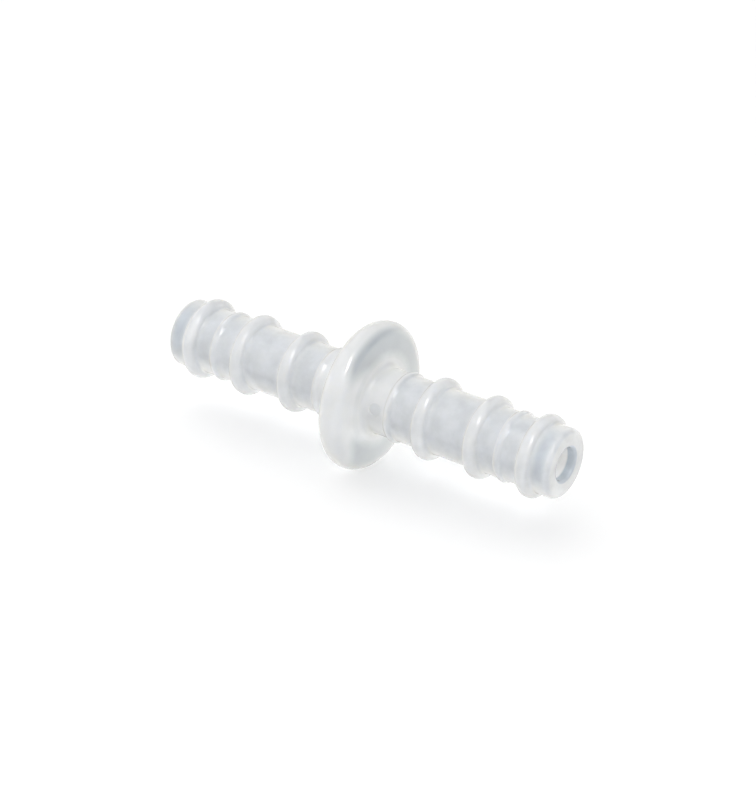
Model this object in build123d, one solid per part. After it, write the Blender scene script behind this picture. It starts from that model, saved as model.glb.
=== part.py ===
from build123d import *

import os

# A double-ended ribbed connector for soft tubing, moulded in one piece.
#
# A thin-walled barrel with a straight bore lies along X. A round flange stands at its middle, at the
# origin, and stops the two tubes. Each half carries three gripping ribs, two low ridges and a plain
# nose that guides the tube on. The two halves mirror each other, apart from the shallow mark that the
# mould's gate leaves beside the flange. Sizes are in millimetres and angles in degrees.

overall_length = 38.1
flange_diameter = 12.8
barrel_diameter = 5.65
nose_diameter = 5.85
bore_diameter = 2.8

# Gripping ribs are round beads. Their places are measured from the middle of the flange.
rib_crest_diameter = 7.0
rib_bead_radius = 0.6
rib_places = (6.75, 11.75, 16.75)

# Low ridges: one beside the flange, and one between the two outer ribs.
ridge_crest_diameter = 6.05
ridge_bead_radius = 0.35
ridge_places = (3.6, 14.3)

# The flange has a full-round rim, and each face thickens towards the barrel.
flange_rim_radius = 1.1
flange_root_thickness = 2.6

# The gate mark is a round dimple on the barrel, with a flat floor. Its place is measured from the middle
# of the flange, and its angle from -Y up towards +Z.
gate_mark_diameter = 1.1
gate_mark_depth = 0.08
gate_mark_place = 2.45
gate_mark_angle = 14.4

# Softened corners.
bead_fillet = 0.25
flange_fillet = 0.5
nose_edge_radius = 0.45
mouth_edge_radius = 0.25

half_length = overall_length / 2
bore_radius = bore_diameter / 2
barrel_radius = barrel_diameter / 2
nose_radius = nose_diameter / 2
rim_centre = flange_diameter / 2 - flange_rim_radius


def wall(start, end, radius):
    """The section of a plain stretch of tube, from the bore out to this radius."""
    corner = (Align.MIN, Align.MIN)
    return Pos(start, bore_radius) * Rectangle(end - start, radius - bore_radius, align=corner)


def bead(place, crest_diameter, bead_radius):
    """The section of one round bead that stands on the barrel."""
    return Pos(place, crest_diameter / 2 - bead_radius) * Circle(bead_radius)


def flange():
    """The section of the flange: two tapering faces and the full-round rim."""
    half_root = flange_root_thickness / 2
    web = Polygon(
        (-half_root, barrel_radius),
        (half_root, barrel_radius),
        (flange_rim_radius, rim_centre),
        (-flange_rim_radius, rim_centre),
        align=None,
    )
    return web + Pos(0, rim_centre) * Circle(flange_rim_radius)


def corners(section, height):
    """The section's corners that lie at this height above the axis."""
    return section.vertices().filter_by(lambda corner: abs(corner.Y - height) < 1e-6)


def coupling_section():
    """The section of the whole connector on one side of its axis, with its corners softened."""
    section = wall(-half_length, half_length, barrel_radius) + flange()
    for side in (-1, 1):
        outer_rib = side * rib_places[-1]
        start, end = sorted((outer_rib, side * half_length))
        section += wall(start, end, nose_radius)
        for place in rib_places:
            section += bead(side * place, rib_crest_diameter, rib_bead_radius)
        for place in ridge_places:
            section += bead(side * place, ridge_crest_diameter, ridge_bead_radius)

    flange_roots = corners(section, barrel_radius).sort_by(lambda corner: abs(corner.X))[:2]
    section = fillet(flange_roots, flange_fillet)
    bead_roots = corners(section, barrel_radius).filter_by(
        lambda corner: abs(corner.X) > flange_root_thickness
    )
    section = fillet(bead_roots, bead_fillet)
    nose_corners = corners(section, nose_radius)
    section = fillet(nose_corners.sort_by(lambda corner: abs(corner.X))[:2], bead_fillet)
    nose_ends = corners(section, nose_radius).sort_by(lambda corner: abs(corner.X))[-2:]
    section = fillet(nose_ends, nose_edge_radius)
    return fillet(corners(section, bore_radius), mouth_edge_radius)


def gate_mark():
    """The round solid that the gate mark's dimple takes out of the barrel."""
    upwards = (Align.CENTER, Align.CENTER, Align.MIN)
    dimple = Cylinder(gate_mark_diameter / 2, 2 * gate_mark_depth, align=upwards)
    floor = Pos(gate_mark_place, 0, barrel_radius - gate_mark_depth)
    return Rot(90 - gate_mark_angle, 0, 0) * floor * dimple


coupling_body = revolve(coupling_section(), Axis.X, 360) - gate_mark()

os.makedirs("parts", exist_ok=True)
export_step(coupling_body, "parts/coupling_body.step")
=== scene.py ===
import math

import bpy
from mathutils import Matrix, Vector


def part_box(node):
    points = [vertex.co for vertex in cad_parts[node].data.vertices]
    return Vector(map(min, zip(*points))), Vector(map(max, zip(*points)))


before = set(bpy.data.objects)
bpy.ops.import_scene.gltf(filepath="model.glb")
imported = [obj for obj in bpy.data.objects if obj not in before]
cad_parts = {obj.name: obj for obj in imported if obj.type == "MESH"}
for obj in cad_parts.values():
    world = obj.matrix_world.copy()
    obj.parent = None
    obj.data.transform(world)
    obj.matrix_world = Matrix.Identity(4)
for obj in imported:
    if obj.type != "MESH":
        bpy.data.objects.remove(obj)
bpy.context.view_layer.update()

MM = 0.001
lowest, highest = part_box("coupling_body")
BORE_RADIUS = 1.4 * MM
BARREL_RADIUS = 2.825 * MM
RIB_RADIUS = 3.5 * MM
RIB_PLACES = (6.75 * MM, 11.75 * MM, 16.75 * MM)
HUB_END = 3.6 * MM  # the middle of the low ridge beside the flange
TIP = highest[0]
GATE_ANGLE = math.radians(14.4)  # how far the gate mark lies above the -Y side, seen along the axis
GATE = Vector((2.45 * MM, -BARREL_RADIUS * math.cos(GATE_ANGLE), BARREL_RADIUS * math.sin(GATE_ANGLE)))
GATE_RADIUS = 0.55 * MM


# ---- directions ------------------------------------------------------------------------------------

def direction(azimuth, elevation):
    """The unit vector from the origin towards this azimuth and elevation. Azimuth 0 is the -Y side."""
    a, e = math.radians(azimuth), math.radians(elevation)
    return Vector((math.sin(a) * math.cos(e), -math.cos(a) * math.cos(e), math.sin(e)))


# ---- camera ----------------------------------------------------------------------------------------

def add_camera(azimuth, elevation, distance, slide, lens):
    """A camera with no roll that looks along this direction. slide moves it right and up in its own
    plane, so the connector sits a little to the left of the middle of the frame and above it."""
    back = direction(azimuth, elevation)
    right = Vector((math.cos(math.radians(azimuth)), math.sin(math.radians(azimuth)), 0.0))
    up = back.cross(right)
    turn = Matrix((right, up, back)).transposed()
    data = bpy.data.cameras.new("camera")
    data.sensor_fit = "VERTICAL"
    data.sensor_height = 36.0
    data.lens = lens
    data.clip_start = 0.01
    data.clip_end = 20.0
    camera = bpy.data.objects.new("camera", data)
    bpy.context.scene.collection.objects.link(camera)
    place = back * distance + right * slide[0] + up * slide[1]
    camera.matrix_world = Matrix.Translation(place) @ turn.to_4x4()
    bpy.context.scene.camera = camera


add_camera(azimuth=35.29, elevation=30.13, distance=221.1 * MM, slide=(0.669 * MM, -0.404 * MM), lens=120.5)


# ---- shader nodes ----------------------------------------------------------------------------------

def new_material(name):
    """A material with a Principled shader on its output. Returns the material and the shader."""
    mat = bpy.data.materials.new(name)
    mat.use_nodes = True
    nodes = mat.node_tree.nodes
    nodes.clear()
    out = nodes.new("ShaderNodeOutputMaterial")
    shader = nodes.new("ShaderNodeBsdfPrincipled")
    mat.node_tree.links.new(shader.outputs[0], out.inputs["Surface"])
    return mat, shader


def add_node(tree, kind, inputs, **settings):
    """A shader node with these settings. Each input is a value, or an output socket to link."""
    node = tree.nodes.new("ShaderNode" + kind)
    for name, value in settings.items():
        setattr(node, name, value)
    for socket, value in inputs.items():
        if isinstance(value, bpy.types.NodeSocket):
            tree.links.new(value, node.inputs[socket])
        else:
            node.inputs[socket].default_value = value
    return node


def math_node(tree, operation, a, b=0.0):
    return add_node(tree, "Math", {0: a, 1: b}, operation=operation).outputs[0]


def product(tree, first, *others):
    """All these factors multiplied together."""
    for other in others:
        first = math_node(tree, "MULTIPLY", first, other)
    return first


def step_node(tree, value, start, end, low=0.0, high=1.0):
    """A smooth step from low, at start, to high, at end."""
    sockets = {"Value": value, "From Min": start, "From Max": end, "To Min": low, "To Max": high}
    return add_node(tree, "MapRange", sockets, interpolation_type="SMOOTHSTEP").outputs[0]


def mix_colours(tree, factor, a, b, blend="MIX"):
    """Colour a where the factor is 0, and b where it is 1."""
    sockets = {0: factor, 6: a, 7: b}
    return add_node(tree, "Mix", sockets, data_type="RGBA", blend_type=blend).outputs[2]


def noise_node(tree, vector, scale, detail, roughness=0.5):
    sockets = {"Vector": vector, "Scale": scale, "Detail": detail, "Roughness": roughness}
    return add_node(tree, "TexNoise", sockets).outputs["Fac"]


# ---- the milky plastic -----------------------------------------------------------------------------

THIN = (0.68, 0.705, 0.74, 1)  # thin milky plastic: bluish grey
THICK = (0.87, 0.88, 0.89, 1)  # thick milky plastic: lighter and less blue, partly its own tone and partly painted scatter light
EDGE_LIGHT = (0.95, 0.935, 0.87, 1)  # painted light along the outline, lighter and warmer
NOSE_SHADE = (0.585, 0.63, 0.685, 1)  # painted shade round the nose, where the dark end of the bore shows through the wall
WEB_SHADE = (0.49, 0.53, 0.565, 1)  # painted shade on the flange's faces, between the hub and the rim
MOUTH_SHADE = (0.55, 0.60, 0.65, 1)  # painted shade in the bore just inside each mouth
DEEP_LIGHT = (1.0, 0.98, 0.96, 1)  # painted light in the bore behind the outer ribs, as if lit through the wall
WHITE = (1, 1, 1, 1)

# How far towards THICK each thick place goes.
RIB_CREST = 0.6
RIB_FOOT_GLOW = 0.45
HUB = 0.8
RIM = 0.85


def thickness(tree, along, radius):
    """How far towards THICK each place goes: 0 on the barrel, more on the ribs, the hub beside the flange
    and the rim.
    Partly this follows the plastic's thickness and partly it is painted scatter light; each rib's painted
    glow reaches a little past its foot."""
    thick = step_node(tree, radius, BARREL_RADIUS - 0.1 * MM, RIB_RADIUS - 0.2 * MM, 0.0, RIB_CREST)
    for rib_place in RIB_PLACES:
        from_rib = math_node(tree, "ABSOLUTE", math_node(tree, "SUBTRACT", along, rib_place))
        # Painted light: each rib's glow spreads onto the barrel past its foot.
        foot_glow = step_node(tree, from_rib, 1.3 * MM, 0.5 * MM, 0.0, RIB_FOOT_GLOW)
        thick = math_node(tree, "MAXIMUM", thick, foot_glow)
    hub = product(tree, step_node(tree, along, HUB_END + 0.35 * MM, HUB_END - 0.1 * MM, 0.0, HUB),
                  step_node(tree, radius, 3.9 * MM, 3.5 * MM))
    rim = step_node(tree, radius, RIB_RADIUS, RIB_RADIUS + 0.8 * MM, 0.0, RIM)
    return math_node(tree, "MAXIMUM", math_node(tree, "MAXIMUM", thick, hub), rim)


def web_shade_share(tree, along, radius, y, from_gate):
    """How much of the painted shade on the flange's faces shows: none on the near side nor round the gate.
    There the faces are left lighter as painted light, so each face is darker on its far side."""
    face = step_node(tree, radius, 3.4 * MM, 4.5 * MM)
    off_the_rim = step_node(tree, along, 0.5 * MM, 1.08 * MM, 0.0, 0.9)
    off_the_near_side = step_node(tree, y, -4.9 * MM, -3.3 * MM)
    gate_lightening = step_node(tree, from_gate, 3.9 * MM, 2.4 * MM)
    return product(tree, face, off_the_rim, off_the_near_side, math_node(tree, "SUBTRACT", 1.0, gate_lightening))


def nose_shade_share(tree, along, edge):
    """How much of the painted shade shows: a band round each nose, faded towards the outline."""
    return product(tree, step_node(tree, along, TIP - 1.6 * MM, TIP - 1.05 * MM),
                   step_node(tree, along, TIP - 0.2 * MM, TIP - 0.85 * MM),
                   step_node(tree, edge, 0.45, 0.05))


def clouds(tree, place, thick):
    """Faint clouds from uneven cooling, as a colour to multiply by. Thick places hardly show them."""
    haze = step_node(tree, noise_node(tree, place, 700.0, 3.0, 0.55), 0.3, 0.7, 0.91, 1.05)
    grey = add_node(tree, "CombineColor", {0: haze, 1: haze, 2: haze}).outputs[0]
    return mix_colours(tree, step_node(tree, thick, 0.0, 1.0, 0.0, 0.8), grey, WHITE)


def base_colour(tree, place, split, along, radius):
    """The plastic's colour, which follows how much plastic lies behind the surface, with painted shade and
    painted light laid over it.
    """
    from_gate = add_node(tree, "VectorMath", {0: place, 1: GATE}, operation="DISTANCE").outputs["Value"]
    edge = add_node(tree, "LayerWeight", {"Blend": 0.35}).outputs["Facing"]
    thick = thickness(tree, along, radius)

    colour = mix_colours(tree, thick, THIN, THICK)
    # Painted shade round each nose.
    colour = mix_colours(tree, nose_shade_share(tree, along, edge), colour, NOSE_SHADE)
    # Painted shade over the flange's faces, left lighter on the near side as painted light.
    web_shade = web_shade_share(tree, along, radius, split.outputs["Y"], from_gate)
    colour = mix_colours(tree, web_shade, colour, WEB_SHADE)
    # Painted shade in the gate mark's shallow dimple.
    gate_dimple_shade = step_node(tree, from_gate, GATE_RADIUS + 0.05 * MM, GATE_RADIUS - 0.05 * MM, 0.0, 0.18)
    colour = mix_colours(tree, gate_dimple_shade, colour, WEB_SHADE)

    # Painted light: the outline, where the plastic is seen edge on, is lighter and warmer.
    colour = mix_colours(tree, step_node(tree, edge, 0.2, 0.75), colour, EDGE_LIGHT)

    # Inside the bore: painted shade just inside each mouth, painted light further in.
    in_mouth = step_node(tree, along, TIP - 0.85 * MM, TIP - 0.65 * MM)
    in_bore = step_node(tree, radius, 1.2 * BORE_RADIUS, 1.1 * BORE_RADIUS)
    colour = mix_colours(tree, in_bore, colour, mix_colours(tree, in_mouth, DEEP_LIGHT, MOUTH_SHADE))
    return mix_colours(tree, 1.0, colour, clouds(tree, place, thick), "MULTIPLY")


def skin_bump(tree, place, split, radius):
    """The mould's turning marks, which run round the axis, and the skin's slight ripple."""
    ring_place = add_node(tree, "CombineXYZ", {"X": split.outputs["X"], "Y": radius}).outputs[0]
    rings = noise_node(tree, ring_place, 4000.0, 2.0)
    ripple = noise_node(tree, place, 700.0, 2.0)
    height = math_node(tree, "ADD", math_node(tree, "MULTIPLY", rings, 0.25), ripple)
    return add_node(tree, "Bump", {"Strength": 0.35, "Distance": 0.01 * MM, "Height": height}).outputs[0]


def polypropylene():
    """Milky natural polypropylene, with a gloss that is uneven in patches."""
    mat, shader = new_material("natural_polypropylene")
    tree = mat.node_tree
    place = add_node(tree, "TexCoord", {}).outputs["Object"]
    split = add_node(tree, "SeparateXYZ", {0: place})
    along = math_node(tree, "ABSOLUTE", split.outputs["X"])
    across = add_node(tree, "CombineXYZ", {"Y": split.outputs["Y"], "Z": split.outputs["Z"]}).outputs[0]
    radius = add_node(tree, "VectorMath", {0: across}, operation="LENGTH").outputs["Value"]

    gloss = step_node(tree, noise_node(tree, place, 900.0, 4.0), 0.3, 0.7, 0.17, 0.27)
    tree.links.new(base_colour(tree, place, split, along, radius), shader.inputs["Base Color"])
    tree.links.new(gloss, shader.inputs["Roughness"])
    tree.links.new(skin_bump(tree, place, split, radius), shader.inputs["Normal"])

    shader.inputs["IOR"].default_value = 1.49
    shader.inputs["Transmission Weight"].default_value = 0.4
    shader.inputs["Subsurface Weight"].default_value = 1.0
    shader.inputs["Subsurface Radius"].default_value = (1.0, 0.97, 0.9)
    shader.inputs["Subsurface Scale"].default_value = 2.5 * MM
    shader.inputs["Coat Weight"].default_value = 0.5
    shader.inputs["Coat Roughness"].default_value = 0.1
    return mat


plastic = polypropylene()
for material_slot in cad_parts["coupling_body"].material_slots:
    material_slot.material = plastic


# ---- floor and lights ------------------------------------------------------------------------------

def floor_material():
    mat, shader = new_material("pale_floor")
    shader.inputs["Base Color"].default_value = (0.93, 0.93, 0.93, 1)
    shader.inputs["Roughness"].default_value = 0.9
    return mat


def add_floor(reach=3.0):
    """A square floor under the flange's lowest point, which the connector stands on."""
    corners = [(-reach, -reach), (reach, -reach), (reach, reach), (-reach, reach)]
    mesh = bpy.data.meshes.new("floor")
    mesh.from_pydata([(x, y, lowest[2]) for x, y in corners], [], [(0, 1, 2, 3)])
    mesh.materials.append(floor_material())
    obj = bpy.data.objects.new("floor", mesh)
    bpy.context.scene.collection.objects.link(obj)


def add_softbox(name, azimuth, elevation, distance, width, height, share, shadow=True):
    """A softbox that faces the origin. share is how much of full white it gives a white floor."""
    way = direction(azimuth, elevation)
    data = bpy.data.lights.new(name, "AREA")
    data.shape = "RECTANGLE"
    data.size = width
    data.size_y = height
    data.use_shadow = shadow
    data.energy = share * math.pi**2 * distance**2 / way.z
    obj = bpy.data.objects.new(name, data)
    obj.location = way * distance
    obj.rotation_euler = (-way).to_track_quat("-Z", "Y").to_euler()
    bpy.context.scene.collection.objects.link(obj)


def add_world(dim, bright, way):
    """A white studio round the scene, brightest in this direction and dim on the far side."""
    world = bpy.data.worlds.new("studio")
    world.use_nodes = True
    tree = world.node_tree
    ray = add_node(tree, "TexCoord", {}).outputs["Generated"]
    towards = add_node(tree, "VectorMath", {0: ray, 1: way.normalized()}, operation="DOT_PRODUCT")
    background = tree.nodes["Background"]
    background.inputs["Color"].default_value = WHITE
    tree.links.new(step_node(tree, towards.outputs["Value"], -1.0, 1.0, dim, bright),
                   background.inputs["Strength"])
    bpy.context.scene.world = world


add_floor()
add_world(dim=0.38, bright=0.78, way=Vector((-0.6, 0.1, 0.7)))
# The key draws the fine streaks on the ribs. It casts no shadow, so it also lights the bore.
add_softbox("key", azimuth=66, elevation=50, distance=1.0, width=0.2, height=0.5, share=0.33, shadow=False)
add_softbox("side", azimuth=-100, elevation=60, distance=1.0, width=1.3, height=1.3, share=0.2)
bpy.context.scene.view_settings.view_transform = "Standard"
